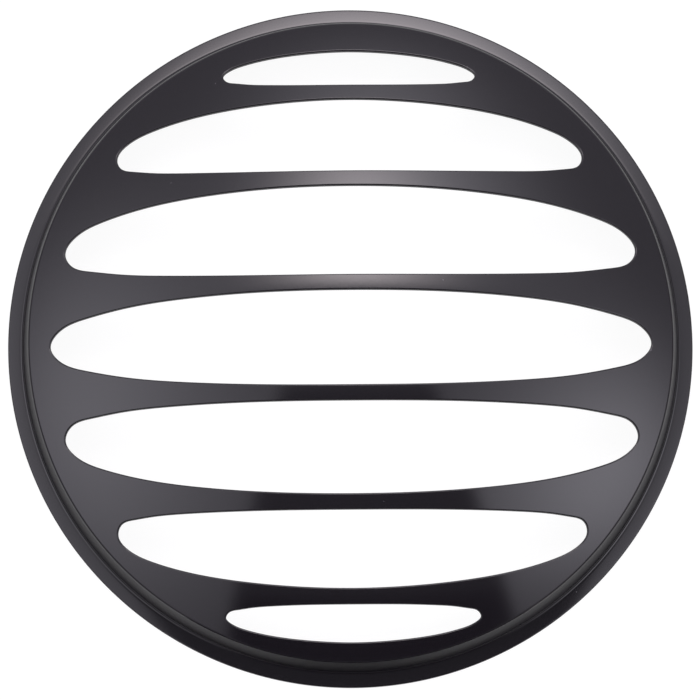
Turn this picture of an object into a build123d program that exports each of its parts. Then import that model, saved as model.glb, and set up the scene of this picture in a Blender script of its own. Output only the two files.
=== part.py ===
from build123d import *
import math
import os

# Headlight guard: a domed shell with a steep, slightly sloping wall, a seating flange and seven lens-shaped slots.
# Millimetres. The back of the flange lies on Z = 0 and the origin is on the dome's axis.
# +Z points out of the lamp, the bars run along X, and +Y is up when the guard is on the lamp.

# Shell
shell_thickness = 1.8
flange_radius = 89.0
flange_width = 4.0
flange_edge_height = 1.2
flange_crown_radius = 26.0
wall_flare = 1.6
shoulder_height = 11.6
dome_radius = 211.0

# Roundings of the shell's section
shoulder_rounding = 0.8
foot_rounding = 1.0
rim_rounding = 0.45
back_rounding = 0.3
lead_in_rounding = 0.8

# Slots: their tips lie on a circle, whose centre sits a little below the dome's axis
tip_margin = 6.0
pattern_drop = 1.5
bar_width = 4.0
front_edge_bevel = 0.35

# Lines of the bars, and of the outermost slots' outer edges, as shares of the tip circle's radius
inner_bar_share = 0.1835
middle_bar_share = 0.5388
outer_bar_share = 0.8437
outermost_edge_share = 0.9922

# Lines that the slots' tips lie on, as shares of the same radius
second_tip_share = 0.3107
third_tip_share = 0.6305
outermost_tip_share = 0.907

# How full each slot's edges are: 2 is an ellipse, and more is fuller
centre_fullness = 2.32
second_inner_fullness = 3.1
second_outer_fullness = 2.06
third_inner_fullness = 4.2
third_outer_fullness = 1.88
outermost_inner_fullness = 3.2
outermost_outer_fullness = 1.79

# How finely a slot's outline is drawn
points_per_quarter = 6
outline_pieces = 4

# Worked out from the values above
foot_radius = flange_radius - flange_width
shoulder_radius = foot_radius - wall_flare
wall_bore_radius = shoulder_radius - shell_thickness
lining_radius = dome_radius - shell_thickness
dome_centre_height = shoulder_height - math.sqrt(dome_radius**2 - shoulder_radius**2)
dome_centre = Vector(0, 0, dome_centre_height)
apex_height = dome_centre_height + dome_radius
lining_apex_height = dome_centre_height + lining_radius
lining_edge_height = dome_centre_height + math.sqrt(lining_radius**2 - wall_bore_radius**2)
tip_circle_radius = shoulder_radius - tip_margin
inner_bar_line = tip_circle_radius * inner_bar_share
middle_bar_line = tip_circle_radius * middle_bar_share
outer_bar_line = tip_circle_radius * outer_bar_share
outermost_slot_edge = tip_circle_radius * outermost_edge_share
second_tip_line = tip_circle_radius * second_tip_share
third_tip_line = tip_circle_radius * third_tip_share
outermost_tip_line = tip_circle_radius * outermost_tip_share
half_bar = bar_width / 2

# The shell's surfaces start and end on this half plane, which passes between the tips of two slots
seam_turn = 8.5
seam_plane = Plane.XZ.rotated((0, 0, seam_turn))

# Each slot: line its tips lie on, inner edge, outer edge, and how full the two edges are
centre_slot = (0.0, half_bar - inner_bar_line, inner_bar_line - half_bar, centre_fullness, centre_fullness)
second_slot = (
    second_tip_line,
    inner_bar_line + half_bar,
    middle_bar_line - half_bar,
    second_inner_fullness,
    second_outer_fullness,
)
third_slot = (
    third_tip_line,
    middle_bar_line + half_bar,
    outer_bar_line - half_bar,
    third_inner_fullness,
    third_outer_fullness,
)
outermost_slot = (
    outermost_tip_line,
    outer_bar_line + half_bar,
    outermost_slot_edge,
    outermost_inner_fullness,
    outermost_outer_fullness,
)


def slot_points(side, tip_line, inner_edge, outer_edge, inner_fullness, outer_fullness):
    """Points round a lens-shaped slot above (1) or below (-1) the pattern's centre."""
    half_length = math.sqrt(tip_circle_radius**2 - tip_line**2)
    steps = 4 * points_per_quarter
    points = []
    for step in range(steps):
        turn = math.tau * step / steps
        outward = math.sin(turn) > 0
        rise = outer_edge - tip_line if outward else tip_line - inner_edge
        power = 2 / (outer_fullness if outward else inner_fullness)
        x = math.copysign(half_length * abs(math.cos(turn)) ** power, math.cos(turn))
        y = math.copysign(rise * abs(math.sin(turn)) ** power, math.sin(turn))
        points.append((x, side * (tip_line + y) - pattern_drop))
    return points


def slot_face(side, slot):
    """The slot's opening in plan: one smooth closed curve, in equal lengths so that no wall face is long."""
    outline = Spline(*slot_points(side, *slot), periodic=True, mode=Mode.PRIVATE)
    lengths = [outline.trim(n / outline_pieces, (n + 1) / outline_pieces) for n in range(outline_pieces)]
    return Face(Wire(lengths))


def is_front_slot_edge(edge):
    """True where a slot's wall meets the outside of the dome."""
    spot = edge.position_at(0.3)
    on_dome = abs((spot - dome_centre).length - dome_radius) < 0.001
    return on_dome and math.hypot(spot.X, spot.Y) < shoulder_radius - 2 * shoulder_rounding


with BuildPart() as guard:
    # Shell, turned from its half section
    with BuildSketch(seam_plane) as section:
        with BuildLine():
            Line((0, lining_apex_height), (0, apex_height))
            RadiusArc((0, apex_height), (shoulder_radius, shoulder_height), dome_radius)
            Line((shoulder_radius, shoulder_height), (foot_radius, shell_thickness))
            RadiusArc(
                (foot_radius, shell_thickness),
                (flange_radius, flange_edge_height),
                flange_crown_radius,
            )
            Line((flange_radius, flange_edge_height), (flange_radius, 0))
            Line((flange_radius, 0), (wall_bore_radius, 0))
            Line((wall_bore_radius, 0), (wall_bore_radius, lining_edge_height))
            RadiusArc((wall_bore_radius, lining_edge_height), (0, lining_apex_height), -lining_radius)
        make_face()
        for radius, height, rounding in (
            (shoulder_radius, shoulder_height, shoulder_rounding),
            (foot_radius, shell_thickness, foot_rounding),
            (flange_radius, flange_edge_height, rim_rounding),
            (flange_radius, 0, back_rounding),
            (wall_bore_radius, 0, lead_in_rounding),
        ):
            fillet(section.vertices().sort_by_distance((radius, height, 0))[0], rounding)
    revolve(axis=Axis.Z)

    # Slots, cut straight through along the axis: one on the centre line, and the others in pairs
    through = apex_height + shell_thickness
    extrude(slot_face(1, centre_slot), amount=through, dir=(0, 0, 1), mode=Mode.SUBTRACT)
    for slot in (second_slot, third_slot, outermost_slot):
        for side in (1, -1):
            extrude(slot_face(side, slot), amount=through, dir=(0, 0, 1), mode=Mode.SUBTRACT)

    # Front edges of the slots, broken for the paint
    chamfer(guard.edges().filter_by(is_front_slot_edge), front_edge_bevel)

os.makedirs("parts", exist_ok=True)
guard.part.label = "guard"
export_step(guard.part, "parts/guard.step")
print("guard", round(guard.part.volume), "cubic mm,", guard.part.bounding_box())
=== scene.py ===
import math
import bpy
import numpy as np
from mathutils import Matrix, Vector
from mathutils.geometry import delaunay_2d_cdt


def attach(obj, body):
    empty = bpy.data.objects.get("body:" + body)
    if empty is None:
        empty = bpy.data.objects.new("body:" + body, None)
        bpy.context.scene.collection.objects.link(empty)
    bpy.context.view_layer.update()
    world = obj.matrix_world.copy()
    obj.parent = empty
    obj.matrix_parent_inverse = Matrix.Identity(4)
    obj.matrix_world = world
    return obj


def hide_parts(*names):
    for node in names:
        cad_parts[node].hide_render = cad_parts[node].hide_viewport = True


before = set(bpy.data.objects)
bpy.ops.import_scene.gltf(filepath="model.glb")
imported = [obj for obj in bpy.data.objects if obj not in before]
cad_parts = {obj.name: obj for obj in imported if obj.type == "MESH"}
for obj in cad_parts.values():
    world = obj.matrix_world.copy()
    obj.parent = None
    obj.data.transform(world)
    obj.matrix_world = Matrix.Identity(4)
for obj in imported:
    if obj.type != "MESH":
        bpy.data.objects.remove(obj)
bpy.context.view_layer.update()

# Domed headlight guard, lying on its flange with the dome up.
# Shapes are worked out in millimetres and turned to metres as the mesh is made.
mm = 0.001

shell = {
    "thickness": 1.8,
    "flangeRadius": 89.0,
    "flangeWidth": 4.0,
    "flangeEdge": 1.2,  # how thick the flange is at its rim
    "flangeCrown": 60.0,  # radius of the flange's gentle crown
    "wallFlare": 1.6,  # how much wider the wall is at its foot than at its top
    "shoulderHeight": 11.6,
    "domeRadius": 211.0,
    "shoulderRounding": 1.1,
    "footRounding": 1.0,
    "rimRounding": 0.45,
    "backRounding": 0.3,
    "leadIn": 0.8,
    "insideRounding": 0.5,
    "turns": 480,  # segments round the dome's axis
    # faces across each rounding and across the flange's crown
    "steps": {"shoulder": 6, "foot": 6, "crown": 6, "rim": 5, "back": 4, "leadIn": 5, "inside": 4},
}
slots = {
    "tipMargin": 6.0,
    "drop": 1.5,  # the pattern sits this far below the dome's axis
    "barWidth": 4.0,
    "barShares": (0.1835, 0.5388, 0.8437),  # lines of the bars, as shares of the tip circle's radius
    "tipShares": (0.0, 0.3107, 0.6305, 0.907),  # lines that the slots' tips lie on
    "outermostEdgeShare": 0.9922,
    "innerFullness": (2.32, 3.1, 4.2, 3.2),  # 2 is an ellipse, and more is fuller
    "outerFullness": (2.32, 2.06, 1.88, 1.79),
    "pointsPerQuarter": 6,
    "curveSteps": 80,  # fine steps of the outline between two of those points
    "frontRounding": 0.35,  # where the walls meet the outside of the dome
    "frontSteps": 4,
    "backRounding": 0.1,  # where they meet its inside
    "backSteps": 3,
    "pointsRound": 320,
    "tipDetail": 20.0,  # extra length that each radian of bend counts for, so that tips get more points
    "gridStep": 1.7,  # between the points that fill the dome
    "gridInset": 0.6,  # how far they stay inside the dome's edge, in steps
    "gridClear": 0.55,  # and from a slot's outline
}

# Worked out from the sizes above
domeRadius = shell["domeRadius"]
footRadius = shell["flangeRadius"] - shell["flangeWidth"]
shoulderRadius = footRadius - shell["wallFlare"]
boreRadius = shoulderRadius - shell["thickness"]
liningRadius = domeRadius - shell["thickness"]
centreHeight = shell["shoulderHeight"] - math.sqrt(domeRadius**2 - shoulderRadius**2)
domeCentre = np.array((0.0, 0.0, centreHeight))
tipCircle = shoulderRadius - slots["tipMargin"]

insideOutline = 2  # the triangulation's own number for faces inside the outlines only
mergeWithin = 1e-7  # millimetres


def slotPoints(number, side):
    # points round a lens-shaped slot, above (1) or below (-1) the pattern's centre
    bars = [tipCircle * share for share in slots["barShares"]]
    half = slots["barWidth"] / 2
    tipLine = tipCircle * slots["tipShares"][number]
    inner = (-bars[0] if number == 0 else bars[number - 1]) + half
    outer = bars[number] - half if number < len(bars) else tipCircle * slots["outermostEdgeShare"]
    halfLength = math.sqrt(tipCircle**2 - tipLine**2)
    steps = 4 * slots["pointsPerQuarter"]
    points = []
    for step in range(steps):
        turn = math.tau * step / steps
        outward = math.sin(turn) > 0
        rise = outer - tipLine if outward else tipLine - inner
        power = 2 / slots["outerFullness" if outward else "innerFullness"][number]
        x = math.copysign(halfLength * abs(math.cos(turn)) ** power, math.cos(turn))
        y = math.copysign(rise * abs(math.sin(turn)) ** power, math.sin(turn))
        points.append((x, side * (tipLine + y) - slots["drop"]))
    return np.array(points if side > 0 else points[::-1])


def smoothOutline(points, count):
    # the smooth closed curve through the points, as close-set points and the directions out of the slot
    n = len(points)
    after = np.roll(points, -1, 0)
    chord = np.linalg.norm(after - points, axis=1)
    before = np.roll(chord, 1)
    rows = np.zeros((n, n))
    for i in range(n):
        rows[i, i - 1] = chord[i]
        rows[i, i] = 2 * (before[i] + chord[i])
        rows[i, (i + 1) % n] = before[i]
    run = (after - points) / chord[:, None]
    slope = np.linalg.solve(rows, 3 * (chord[:, None] * np.roll(run, 1, 0) + before[:, None] * run))
    t = (np.arange(slots["curveSteps"]) / slots["curveSteps"])[None, :, None]
    p0, p1 = points[:, None], after[:, None]
    m0, m1 = (slope * chord[:, None])[:, None], (np.roll(slope, -1, 0) * chord[:, None])[:, None]
    line = (p0 * (2 * t**3 - 3 * t**2 + 1) + m0 * (t**3 - 2 * t**2 + t)
            + p1 * (3 * t**2 - 2 * t**3) + m1 * (t**3 - t**2)).reshape(-1, 2)
    ahead = np.roll(line, -1, 0) - line
    length = np.linalg.norm(ahead, axis=1)
    heading = np.unwrap(np.arctan2(ahead[:, 1], ahead[:, 0]))
    bend = np.abs(np.diff(np.append(heading, heading[0] + math.tau)))
    travel = np.concatenate(([0.0], np.cumsum(length + slots["tipDetail"] * bend)))
    spots = np.interp(np.arange(count) * travel[-1] / count, travel, np.arange(len(travel)))
    closed = np.vstack((line, line[:1]))
    headings = np.append(heading, heading[0] + math.tau)
    step = np.arange(len(closed))
    at = np.stack([np.interp(spots, step, closed[:, k]) for k in (0, 1)], axis=1)
    angle = np.interp(spots - 0.5, step, headings)
    return at, np.stack((np.sin(angle), -np.cos(angle)), axis=1)


def unit(v):
    return v / np.linalg.norm(v, axis=-1, keepdims=True)


def within(points, ring):
    # which of the plan points lie inside the closed ring, by counting the edges to the right of each
    a, b = ring, np.roll(ring, -1, 0)
    x, y = points[:, :1], points[:, 1:]
    straddles = (a[:, 1] > y) != (b[:, 1] > y)
    rise = np.where(b[:, 1] == a[:, 1], np.inf, b[:, 1] - a[:, 1])
    crossing = a[:, 0] + (y - a[:, 1]) * (b[:, 0] - a[:, 0]) / rise
    return (straddles & (crossing > x)).sum(1) % 2 == 1


def onBall(at, radius):
    # the point over or under each plan point that lies this far from the dome's centre
    height = centreHeight + np.sqrt(radius**2 - (at**2).sum(1))
    return np.column_stack((at, height))


def between(a, b, share):
    # the direction part of the way round from a to b
    angle = np.arccos(np.clip((a * b).sum(-1, keepdims=True), -1, 1))
    return (np.sin((1 - share) * angle) * a + np.sin(share * angle) * b) / np.sin(angle)


class MeshParts:
    # vertices with their own shading directions, and the faces on them

    def __init__(self):
        self.points, self.directions, self.faces = [], [], []

    def ring(self, points, directions):
        first = len(self.points)
        self.points += list(points)
        self.directions += list(directions)
        return list(range(first, len(self.points)))

    def band(self, above, below):
        n = len(above)
        for i in range(n):
            j = (i + 1) % n
            self.faces.append((above[i], below[i], below[j], above[j]))

    def plan(self, ids):
        return np.array([self.points[i][:2] for i in ids])

    def filling(self, rings):
        # an even grid of plan points inside the outer ring, clear of the slots
        edge, outlines = self.plan(rings[0]), self.plan([i for ring in rings for i in ring])
        step, rowGap = slots["gridStep"], math.sqrt(0.75)  # rows of triangles with equal sides
        reach = np.hypot(*edge.T).min() - slots["gridInset"] * step
        rows = int(reach / (step * rowGap)) + 1
        grid = np.array([
            ((k + 0.5 * (row % 2)) * step, row * step * rowGap)
            for row in range(-rows, rows + 1)
            for k in range(-rows - 2, rows + 2)
        ])
        grid = grid[np.hypot(*grid.T) < reach]
        gap = np.sqrt([((outlines - g) ** 2).sum(1).min() for g in grid])
        grid = grid[gap > slots["gridClear"] * step]
        for ring in rings[1:]:
            grid = grid[~within(grid, self.plan(ring))]
        return grid

    def sheet(self, outer, holes, radius, facing):
        # fills between the outer ring and the slots' rings, on the ball of this radius
        rings = [outer] + holes
        ids = [i for ring in rings for i in ring]
        edges, start = [], 0
        for ring in rings:
            edges += [(start + k, start + (k + 1) % len(ring)) for k in range(len(ring))]
            start += len(ring)
        places = [Vector(p) for p in np.vstack((self.plan(ids), self.filling(rings)))]
        spots, _, triangles, sources = delaunay_2d_cdt(places, edges, [], insideOutline, mergeWithin)[:4]
        raised = onBall(np.array([v[:] for v in spots]), radius)
        index = {}
        for i in {i for face in triangles for i in face}:
            known = [k for k in sources[i] if k < len(ids)]
            if known:
                index[i] = ids[known[0]]
            else:
                index[i] = len(self.points)
                self.points.append(raised[i])
                self.directions.append(facing * unit(raised[i] - domeCentre))
        owner = {i: k for k, ring in enumerate(rings) for i in ring}
        corners = [[index[i] for i in face] for face in triangles]
        middles = np.array([self.plan(face).mean(0) for face in corners])
        inHole = np.zeros(len(corners), bool)
        for k, ring in enumerate(holes, 1):
            own = np.array([all(owner.get(i) == k for i in face) for face in corners])
            inHole[own] = within(middles[own], self.plan(ring))
        for face, hole in zip(corners, inHole):
            if not hole:
                self.faces.append(face if facing > 0 else face[::-1])


def turnedProfile():
    # the shell's section from the edge of the dome round to the edge of its lining: radius, height, direction
    rows = []

    def arc(centre, radius, start, end, count, bulge=1):
        # a rounding about its centre from one direction to the other; bulge is -1 on a hollow one
        for k in range(count + 1):
            angle = math.radians(start + (end - start) * k / count)
            rows.append((centre[0] + radius * math.cos(angle), centre[1] + radius * math.sin(angle),
                         bulge * math.cos(angle), bulge * math.sin(angle)))

    def leaning(point, centre):
        return math.degrees(math.atan2(point[1] - centre[1], point[0] - centre[0]))

    wallTop = np.array((shoulderRadius, shell["shoulderHeight"]))
    wallFoot = np.array((footRadius, shell["thickness"]))
    down = unit(wallFoot - wallTop)
    facing = np.array((-down[1], down[0]))
    wallLean = math.degrees(math.atan2(facing[1], facing[0]))

    def besideWall(offset, centre, radius):
        # first point down a line beside the wall that lies this far from the centre
        start = wallTop + offset * facing - centre
        slide = start @ down
        return start + (-slide - math.sqrt(slide**2 - start @ start + radius**2)) * down + centre

    steps = shell["steps"]
    domeMiddle = np.array((0.0, centreHeight))
    r = shell["shoulderRounding"]
    shoulder = besideWall(-r, domeMiddle, domeRadius - r)
    arc(shoulder, r, leaning(shoulder, domeMiddle), wallLean, steps["shoulder"])
    # the hollow at the wall's foot, and the crown of the flange
    end = np.array((shell["flangeRadius"], shell["flangeEdge"]))
    chord = end - wallFoot
    span = np.linalg.norm(chord)
    crown = shell["flangeCrown"]
    beneath = np.array((chord[1], -chord[0])) / span
    crownCentre = (wallFoot + end) / 2 + beneath * math.sqrt(crown**2 - span**2 / 4)
    r = shell["footRounding"]
    foot = besideWall(r, crownCentre, crown + r)
    footLean = leaning(foot, crownCentre)
    arc(foot, r, 180 + wallLean, 180 + footLean, steps["foot"], -1)
    r = shell["rimRounding"]
    rim = (end[0] - r, crownCentre[1] + math.sqrt((crown - r) ** 2 - (end[0] - r - crownCentre[0]) ** 2))
    rimLean = leaning(rim, crownCentre)
    arc(crownCentre, crown, footLean, rimLean, steps["crown"])
    arc(rim, r, rimLean, 0, steps["rim"])
    r = shell["backRounding"]
    arc((end[0] - r, r), r, 0, -90, steps["back"])
    r = shell["leadIn"]
    arc((boreRadius + r, r), r, -90, -180, steps["leadIn"])
    r = shell["insideRounding"]
    inside = (boreRadius - r, centreHeight + math.sqrt((liningRadius - r) ** 2 - (boreRadius - r) ** 2))
    arc(inside, r, 180, 180 + leaning(inside, domeMiddle), steps["inside"], -1)
    return rows


def turnShell(parts):
    # the shell's section turned round the axis: its first ring edges the dome and its last one the lining
    turn = np.arange(shell["turns"]) * math.tau / shell["turns"]
    across, along = np.cos(turn), np.sin(turn)
    rings = []
    for radius, height, out, up in turnedProfile():
        points = np.column_stack((radius * across, radius * along, np.full_like(turn, height)))
        facing = np.column_stack((out * across, out * along, np.full_like(turn, up)))
        rings.append(parts.ring(points, facing))
    for above, below in zip(rings, rings[1:]):
        parts.band(above, below)
    return rings[0], rings[-1]


def cutSlot(parts, number, side):
    # a slot's wall with its two rounded edges: its first ring lies on the dome and its last one on the lining
    outline, outward = smoothOutline(slotPoints(number, side), slots["pointsRound"])
    wallFacing = np.column_stack((-outward, np.zeros(len(outward))))
    rings = []
    r, steps = slots["frontRounding"], slots["frontSteps"]
    ball = onBall(outline + r * outward, domeRadius - r)
    top = unit(ball - domeCentre)
    for k in range(steps + 1):
        facing = between(top, wallFacing, k / steps)
        rings.append(parts.ring(ball + r * facing, facing))
    r, steps = slots["backRounding"], slots["backSteps"]
    ball = onBall(outline + r * outward, liningRadius + r)
    under = -unit(ball - domeCentre)
    for k in range(steps + 1):
        facing = between(wallFacing, under, k / steps)
        rings.append(parts.ring(ball + r * facing, facing))
    for above, below in zip(rings, rings[1:]):
        parts.band(below, above)
    return rings[0], rings[-1]


def makeGuard():
    parts = MeshParts()
    domeEdge, liningEdge = turnShell(parts)
    fronts, backs = [], []
    for number in range(len(slots["tipShares"])):
        for side in (1, -1) if number else (1,):  # the slot on the centre line has no twin
            front, back = cutSlot(parts, number, side)
            fronts.append(front)
            backs.append(back)
    parts.sheet(domeEdge, fronts, domeRadius, 1)
    parts.sheet(liningEdge, backs, liningRadius, -1)
    mesh = bpy.data.meshes.new("guardShell")
    mesh.from_pydata([tuple(mm * x for x in p) for p in parts.points], [], parts.faces)
    mesh.validate()
    mesh.polygons.foreach_set("use_smooth", [True] * len(mesh.polygons))
    mesh.normals_split_custom_set_from_vertices([tuple(d) for d in parts.directions])
    mesh.update()
    guard = bpy.data.objects.new("guardShell", mesh)
    bpy.context.scene.collection.objects.link(guard)
    return guard


guard = makeGuard()
print("guard shell:", len(guard.data.polygons), "faces")


class Val:
    # a node's socket that ordinary arithmetic works on

    def __init__(self, paint, socket):
        self.paint, self.socket = paint, socket

    def maths(self, operation, first, second):
        return self.paint.node("ShaderNodeMath", {"operation": operation}, {0: first, 1: second})

    def __add__(self, other):
        return self.maths("ADD", self, other)

    __radd__ = __add__

    def __mul__(self, other):
        return self.maths("MULTIPLY", self, other)

    __rmul__ = __mul__

    def __sub__(self, other):
        return self.maths("SUBTRACT", self, other)

    def __rsub__(self, other):
        return self.maths("SUBTRACT", other, self)

    def __truediv__(self, other):
        return self.maths("DIVIDE", self, other)

    def __rtruediv__(self, other):
        return self.maths("DIVIDE", other, self)

    def __lt__(self, other):
        return self.maths("LESS_THAN", self, other)


class Paint:
    # the nodes of one material, or of the world

    def __init__(self, owner):
        owner.use_nodes = True
        self.owner, self.tree = owner, owner.node_tree
        self.tree.nodes.clear()

    def node(self, kind, settings=None, sockets=None, output=0):
        made = self.tree.nodes.new(kind)
        for name, value in (settings or {}).items():
            setattr(made, name, value)
        for name, value in (sockets or {}).items():
            if isinstance(value, Val):
                self.tree.links.new(value.socket, made.inputs[name])
            else:
                made.inputs[name].default_value = value
        return Val(self, made.outputs[output]) if made.outputs else None

    def place(self):
        # where on the object a point is, in metres
        return self.node("ShaderNodeTexCoord", output="Object")

    def split(self, vector):
        return [self.node("ShaderNodeSeparateXYZ", {}, {0: vector}, axis) for axis in "XYZ"]

    def exponent(self, value):
        return self.node("ShaderNodeMath", {"operation": "EXPONENT"}, {0: value})

    def past(self, value, softness):
        # 0 below zero and 1 above it, with a soft step between
        return 1 / (1 + self.exponent(-1 / softness * value))

    def tinted(self, strength, colour):
        # a colour times a value that varies
        grey = self.node("ShaderNodeCombineXYZ", {}, {0: strength, 1: strength, 2: strength})
        return self.node("ShaderNodeVectorMath", {"operation": "MULTIPLY"}, {0: grey, 1: colour})

    def sum(self, first, second):
        return self.node("ShaderNodeVectorMath", {"operation": "ADD"}, {0: first, 1: second})

    def seen(self):
        # 1 for what the camera, a gloss or a glass sees, and 0 for what only lights the scene
        names = ("Is Camera Ray", "Is Glossy Ray", "Is Transmission Ray")
        camera, glossy, through = (self.node("ShaderNodeLightPath", output=name) for name in names)
        return camera + glossy + through

    def surface(self, shader):
        owner = "World" if isinstance(self.owner, bpy.types.World) else "Material"
        self.node("ShaderNodeOutput" + owner, {}, {"Surface": shader})


glossLook = {
    "colour": (0.0105, 0.009, 0.0115, 1),
    "roughness": 0.085,
    "ior": 1.5,
    "roughnessDrift": 0.03,  # slow changes from place to place
    "driftScale": 55.0,
    "driftDetail": 2.0,
    "peelScale": 700.0,  # the sprayed paint's faint orange peel, about 1.5 mm from top to top
    "peelDetail": 1.0,
    "peelDepth": 0.0000012,
    "speckScale": 260.0,  # one place for a dust speck in about 4 mm
    "speckShare": 0.12,  # of the places that hold one
    "speckSize": 0.045,  # as a share of the distance between places
    "speckColour": (0.085, 0.08, 0.09, 1),
    "speckRoughness": 0.3,  # added on a speck
    "sideRoughness": 0.5,  # added on the wall and in the slots, where sprayed paint dries rougher
    "sideFacing": 0.4,  # a side is where the surface faces the front less than this
    "sideSoftness": 0.08,
}


def makeBlackGloss():
    look = glossLook
    paint = Paint(bpy.data.materials.new("blackGloss"))
    spot = paint.place()
    drift, peel = (
        paint.node("ShaderNodeTexNoise", {}, {
            "Vector": spot, "Scale": look[name + "Scale"], "Detail": look[name + "Detail"]})
        for name in ("drift", "peel")
    )
    cells = {"Vector": spot, "Scale": look["speckScale"]}
    away = paint.node("ShaderNodeTexVoronoi", {}, cells, "Distance")
    lot = paint.split(paint.node("ShaderNodeTexVoronoi", {}, cells, "Color"))[0]
    speck = (away < look["speckSize"]) * (lot < look["speckShare"])
    colour = paint.node("ShaderNodeMix", {"data_type": "RGBA"}, {
        "Factor": speck, "A": look["colour"], "B": look["speckColour"]}, 2)
    facing = paint.split(paint.node("ShaderNodeTexCoord", output="Normal"))[2]
    side = paint.past(look["sideFacing"] - facing, look["sideSoftness"])
    roughness = look["roughness"] + look["roughnessDrift"] * (drift - 0.5)
    roughness = roughness + look["speckRoughness"] * speck + look["sideRoughness"] * side
    relief = paint.node("ShaderNodeBump", {}, {
        "Strength": 1.0, "Distance": look["peelDepth"], "Height": peel})
    paint.surface(paint.node("ShaderNodeBsdfPrincipled", {}, {
        "Base Color": colour, "Roughness": roughness, "IOR": look["ior"], "Normal": relief}))
    return paint.owner


guard.data.materials.append(makeBlackGloss())
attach(guard, "root")
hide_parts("guard")
print("paint: done")

view = {
    "distance": 1362.0,  # millimetres
    "dip": 8.174,  # degrees that the camera stands below the dome's axis
    "yaw": 0.746,  # degrees, and so is the roll
    "roll": 0.505,
    "focalPixels": 5234.7,
    "frame": 700,
    "sensor": 36.0,
    "clip": (0.05, 50),  # metres
    "offset": (0.57, 3.58),  # where the origin shows, in pixels right of and above the frame's middle
}


def makeCamera():
    dip, yaw = math.radians(view["dip"]), math.radians(view["yaw"])
    back = Vector((-math.sin(yaw) * math.cos(dip), -math.sin(dip), math.cos(yaw) * math.cos(dip)))
    right = Vector((0, 1, 0)).cross(back).normalized()
    turned = Matrix((right, back.cross(right), back)).transposed()
    turned = turned @ Matrix.Rotation(math.radians(-view["roll"]), 3, "Z")
    data = bpy.data.cameras.new("camera")
    data.sensor_width = view["sensor"]
    data.lens = view["focalPixels"] / view["frame"] * data.sensor_width
    data.shift_x = -view["offset"][0] / view["frame"]
    data.shift_y = -view["offset"][1] / view["frame"]
    data.clip_start, data.clip_end = view["clip"]
    camera = bpy.data.objects.new("camera", data)
    camera.matrix_world = Matrix.Translation(back * view["distance"] * mm) @ turned.to_4x4()
    bpy.context.scene.collection.objects.link(camera)
    bpy.context.scene.camera = camera


makeCamera()

white = (1, 1, 1, 1)
floorLook = {
    "size": 8.0,
    "colour": (0.8, 0.8, 0.8, 1),  # as the lamps see it
    "glow": 0.93,  # as the camera and the paint see it: this much white, and the rest from the lamps
    "shade": (0.12, 0.12, 0.12, 1),
}


def stageSheet(name, corners, faces):
    mesh = bpy.data.meshes.new(name)
    mesh.from_pydata(corners, [], faces)
    sheet = bpy.data.objects.new(name, mesh)
    bpy.context.scene.collection.objects.link(sheet)
    return sheet


def flatSheet(name, size, height):
    half = size / 2
    corners = [(-half, -half, height), (half, -half, height), (half, half, height), (-half, half, height)]
    return stageSheet(name, corners, [(0, 1, 2, 3)])


def makeFloor():
    floor = flatSheet("floor", floorLook["size"], 0.0)
    paint = Paint(bpy.data.materials.new("whiteFloor"))
    lit = paint.node("ShaderNodeBsdfDiffuse", {}, {"Color": floorLook["colour"]})
    shade = paint.node("ShaderNodeBsdfDiffuse", {}, {"Color": floorLook["shade"]})
    glow = paint.node("ShaderNodeEmission", {}, {"Color": white, "Strength": floorLook["glow"]})
    shown = paint.node("ShaderNodeAddShader", {}, {0: shade, 1: glow})
    paint.surface(paint.node("ShaderNodeMixShader", {}, {0: paint.seen(), 1: lit, 2: shown}))
    floor.data.materials.append(paint.owner)


# Painted shadow: a dark sheet on the floor below the guard toward −y, where its shadow falls, hidden from the
# camera: the lower part of the wall reflects it
paintedFloorShadowLook = {
    "near": {"left": -0.057, "right": 0.063, "y": -0.091},
    "far": {"left": -0.87, "right": 0.97, "y": -1.4},
    "height": 0.0005,
    "shade": 0.02,
}


def makePaintedFloorShadow():
    look = paintedFloorShadowLook
    ends = (look["near"], look["far"])
    corners = [(end[side], end["y"], look["height"]) for end in ends for side in ("left", "right")]
    darkPatch = stageSheet("paintedFloorShadowSheet", corners, [(0, 1, 3, 2)])
    darkPatch.visible_camera = darkPatch.visible_diffuse = darkPatch.visible_shadow = False
    paint = Paint(bpy.data.materials.new("paintedFloorShadowMaterial"))
    # painted shadow: a dim emission that stands in for the guard's shadow on the floor, seen only in
    # reflections
    paint.surface(paint.node("ShaderNodeEmission", {}, {"Color": white, "Strength": look["shade"]}))
    darkPatch.data.materials.append(paint.owner)


# The light tent: how bright its roof is at each place, in metres across (x) and up (y), and its walls
tentLook = {
    "height": 2.0,
    "size": 9.0,
    "cloth": 0.5,
    "clothColour": (1.0, 0.975, 1.075),
    "lamp": {"power": 6.3, "at": (0.06, 0.75), "spread": (0.29, 0.51)},
    "lampColour": (1.06, 0.96, 0.99),
    "lampEdge": 0.558,  # the lamp's box ends here, in a sharp edge
    "lampEdgeSoftness": 0.008,
    "glows": (
        {"power": 1.4, "at": (0.41, 1.12), "spread": (0.56, 0.37)},
        {"power": 1.34, "at": (0.22, 1.96), "spread": (0.56, 0.61)},
        {"power": 2.1, "at": (-1.69, -0.15), "spread": (0.74, 0.84)},
        {"power": 2.9, "at": (1.73, -0.53), "spread": (0.66, 0.55)},
    ),
    # the dark card's left and right edges, each as x at the origin and its slope, and its top edge
    "darkPatch": {"left": (-0.358, 0.29), "right": (0.474, -0.437), "top": 0.017, "softness": 0.02},
    "cardShade": 0.16,
    "cardEnd": -1.3,  # past here the card is darker still
    "cardEndShade": 0.02,
    "wallRadius": 4.4,
    "wallSides": 64,
    "wallShade": 0.2,
    "wallGlow": 0.6,  # added on the far side, beyond the lamp
    "wallGlowFrom": 2.5,
    "wallGlowSoftness": 0.3,
}


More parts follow.
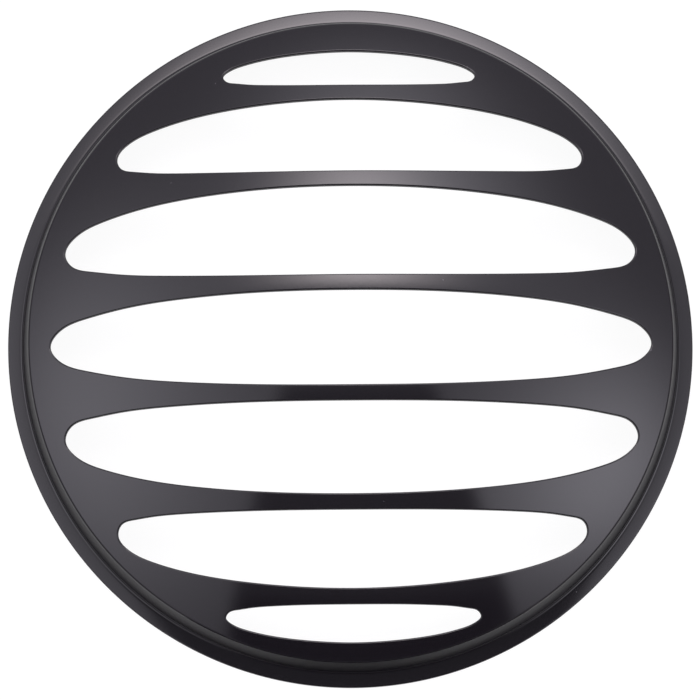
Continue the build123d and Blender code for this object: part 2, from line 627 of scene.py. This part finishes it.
def makeRoof():
    roof = flatSheet("tentRoof", tentLook["size"], tentLook["height"])
    roof.visible_camera = False
    paint = Paint(bpy.data.materials.new("tentCloth"))
    x, y, _ = paint.split(paint.place())

    def glow(power, at, spread):
        across = (x - at[0]) / spread[0]
        up = (y - at[1]) / spread[1]
        return power * paint.exponent(-0.5 * (across * across + up * up))

    lamp = glow(**tentLook["lamp"]) * paint.past(y - tentLook["lampEdge"], tentLook["lampEdgeSoftness"])
    cloth = tentLook["cloth"]
    for spec in tentLook["glows"]:
        cloth = cloth + glow(**spec)
    darkPatch = tentLook["darkPatch"]
    soft = darkPatch["softness"]
    covered = (paint.past(x - darkPatch["left"][0] - darkPatch["left"][1] * y, soft)
               * paint.past(darkPatch["right"][0] + darkPatch["right"][1] * y - x, soft)
               * paint.past(darkPatch["top"] - y, soft))
    ended = paint.past(tentLook["cardEnd"] - y, soft)
    shade = tentLook["cardShade"] + (tentLook["cardEndShade"] - tentLook["cardShade"]) * ended
    cloth = cloth * (1 - covered) + shade * covered
    light = paint.sum(paint.tinted(lamp, tentLook["lampColour"]),
                      paint.tinted(cloth, tentLook["clothColour"]))
    paint.surface(paint.node("ShaderNodeEmission", {}, {"Color": light, "Strength": 1.0}))
    roof.data.materials.append(paint.owner)


def makeWalls():
    sides, radius = tentLook["wallSides"], tentLook["wallRadius"]
    turns = [math.tau * k / sides for k in range(sides)]
    heights = (0.0, tentLook["height"])
    corners = [(radius * math.cos(a), radius * math.sin(a), z) for z in heights for a in turns]
    faces = [(k, (k + 1) % sides, sides + (k + 1) % sides, sides + k) for k in range(sides)]
    walls = stageSheet("tentWalls", corners, faces)
    walls.visible_camera = False
    paint = Paint(bpy.data.materials.new("tentWallCloth"))
    y = paint.split(paint.place())[1]
    far = paint.past(y - tentLook["wallGlowFrom"], tentLook["wallGlowSoftness"])
    light = tentLook["wallShade"] + tentLook["wallGlow"] * far
    paint.surface(paint.node("ShaderNodeEmission", {}, {
        "Color": paint.tinted(light, tentLook["clothColour"]), "Strength": 1.0}))
    walls.data.materials.append(paint.owner)


worldLook = {"light": 0.5, "shown": 1.0}


def makeWorld():
    world = bpy.data.worlds.new("studio")
    bpy.context.scene.world = world
    paint = Paint(world)
    light, shown = (paint.node("ShaderNodeBackground", {}, {"Color": white, "Strength": worldLook[name]})
                    for name in ("light", "shown"))
    paint.surface(paint.node("ShaderNodeMixShader", {}, {0: paint.seen(), 1: light, 2: shown}))


makeFloor()
makePaintedFloorShadow()
makeRoof()
makeWalls()
makeWorld()
bpy.context.scene.view_settings.view_transform = "Standard"
print("studio: done")
